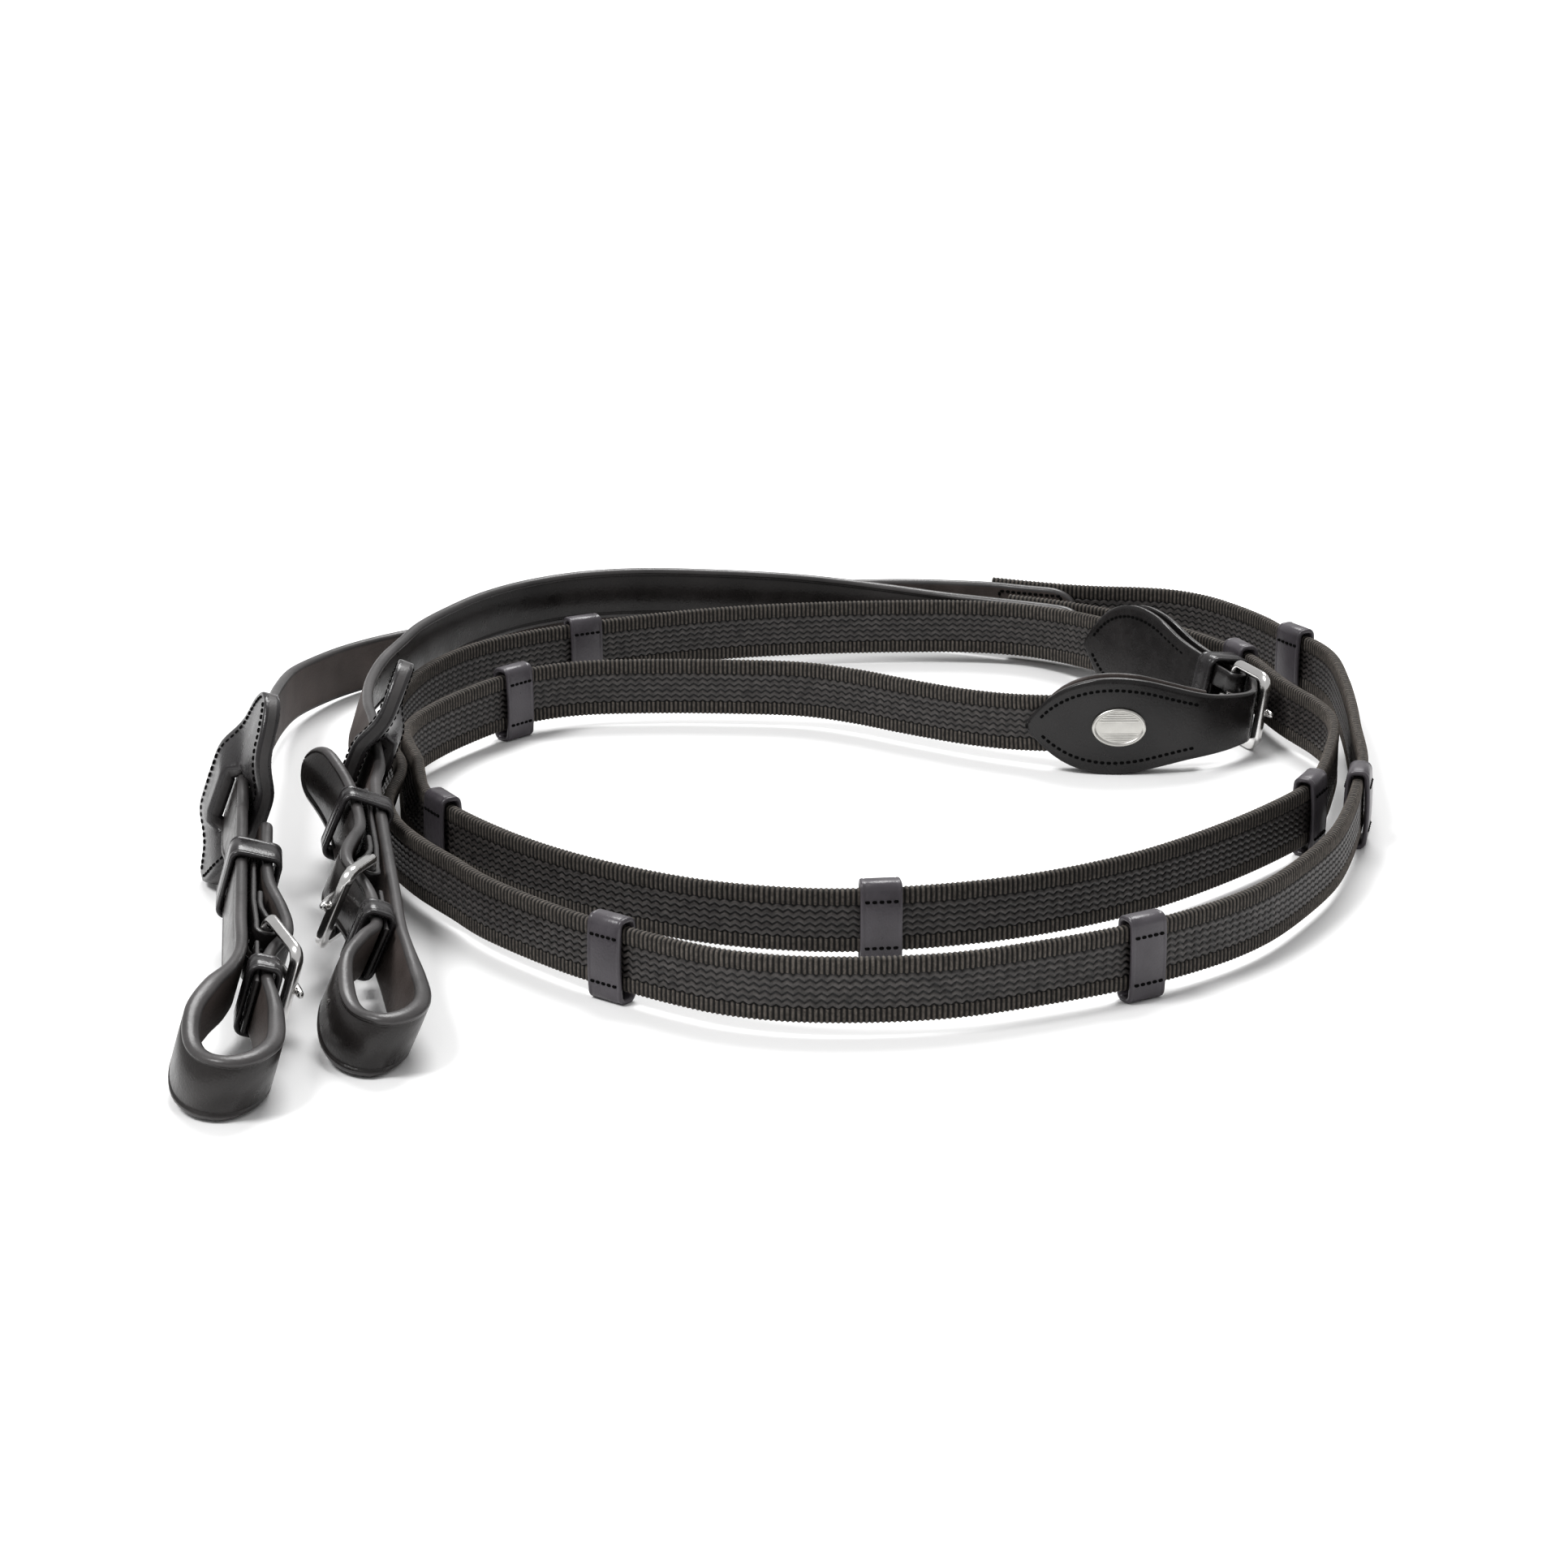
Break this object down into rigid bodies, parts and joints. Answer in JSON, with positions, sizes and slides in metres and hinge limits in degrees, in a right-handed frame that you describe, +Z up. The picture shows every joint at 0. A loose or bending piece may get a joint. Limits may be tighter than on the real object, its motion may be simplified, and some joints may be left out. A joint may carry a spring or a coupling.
{
  "type": "horse reins",
  "caption": "Pair of leather and rubber-grip webbing reins, coiled, with buckled bit loops, martingale stops, hand stops and a centre buckle between stitched leaves.",
  "frame": {"origin": "centre of the coiled pair's footprint, on the floor it lies on", "axes": "+Z up; +Y away from the two bit ends, along the coil's longer side; +X towards the centre buckle"},
  "size_m": [0.3092, 0.38, 0.051],
  "materials": {
    "leather": "semi-gloss black bridle leather with painted edges",
    "leather_lining": "matt black-brown flesh side",
    "grip_webbing": "woven cotton webbing with ribbed edges and rubber herringbone grip",
    "nickel": "polished nickel-plated steel wire and badge"
  },
  "bodies": {
    "reins": {"rein_1_grip_webbing": "grip_webbing", "rein_1_leather_strap": "leather", "rein_1_buckle_chape": "leather", "rein_1_keeper_tab": "leather", "rein_1_bit_buckle_frame": "nickel", "rein_1_fixed_keeper": "leather", "rein_1_hand_stop_1": "leather", "rein_1_hand_stop_2": "leather", "rein_1_hand_stop_3": "leather", "rein_1_hand_stop_4": "leather", "rein_1_hand_stop_5": "leather", "rein_2_grip_webbing": "grip_webbing", "rein_2_leather_strap": "leather", "rein_2_buckle_chape": "leather", "rein_2_keeper_tab": "leather", "rein_2_bit_buckle_frame": "nickel", "rein_2_fixed_keeper": "leather", "rein_2_hand_stop_1": "leather", "rein_2_hand_stop_2": "leather", "rein_2_hand_stop_3": "leather", "rein_2_hand_stop_4": "leather", "rein_2_hand_stop_5": "leather", "billet_leaf": "leather", "billet_leaf_lining": "leather_lining", "buckle_leaf": "leather", "centre_keeper": "leather", "centre_buckle_frame": "nickel", "badge": "nickel"},
    "bit_tongue_1": {"rein_1_bit_buckle_tongue": "nickel"},
    "sliding_keeper_1": {"rein_1_sliding_keeper": "leather"},
    "martingale_stop_1": {"rein_1_martingale_stop": "leather"},
    "bit_tongue_2": {"rein_2_bit_buckle_tongue": "nickel"},
    "sliding_keeper_2": {"rein_2_sliding_keeper": "leather"},
    "martingale_stop_2": {"rein_2_martingale_stop": "leather"},
    "centre_tongue": {"centre_buckle_tongue": "nickel"}
  },
  "joints": [
    {"name": "martingale_stop_1_slide", "type": "slide", "parent": "reins", "child": "martingale_stop_1", "axis": [-0.0904, 0.9953, 0.0362], "range_m": [-0.005, 0.008]},
    {"name": "sliding_keeper_1_slide", "type": "slide", "parent": "reins", "child": "sliding_keeper_1", "axis": [-0.1196, 0.9898, 0.0778], "range_m": [-0.005, 0.008]},
    {"name": "bit_tongue_1_hinge", "type": "hinge", "parent": "reins", "child": "bit_tongue_1", "pos_m": [-0.12633, -0.12114, 0.01383], "axis": [0.2874, -0.0404, 0.957], "range_deg": [0, 8]},
    {"name": "martingale_stop_2_slide", "type": "slide", "parent": "reins", "child": "martingale_stop_2", "axis": [-0.1404, 0.9888, 0.0508], "range_m": [-0.005, 0.006]},
    {"name": "sliding_keeper_2_slide", "type": "slide", "parent": "reins", "child": "sliding_keeper_2", "axis": [-0.1622, 0.9825, 0.0916], "range_m": [-0.006, 0.004]},
    {"name": "bit_tongue_2_hinge", "type": "hinge", "parent": "reins", "child": "bit_tongue_2", "pos_m": [-0.10657, -0.08776, 0.01703], "axis": [-0.3984, 0.0197, -0.917], "range_deg": [0, 8]},
    {"name": "centre_tongue_hinge", "type": "hinge", "parent": "reins", "child": "centre_tongue", "pos_m": [0.12227, 0.0887, 0.0114], "axis": [0.1602, 0.0697, 0.9846], "range_deg": [0, 8]}
  ]
}
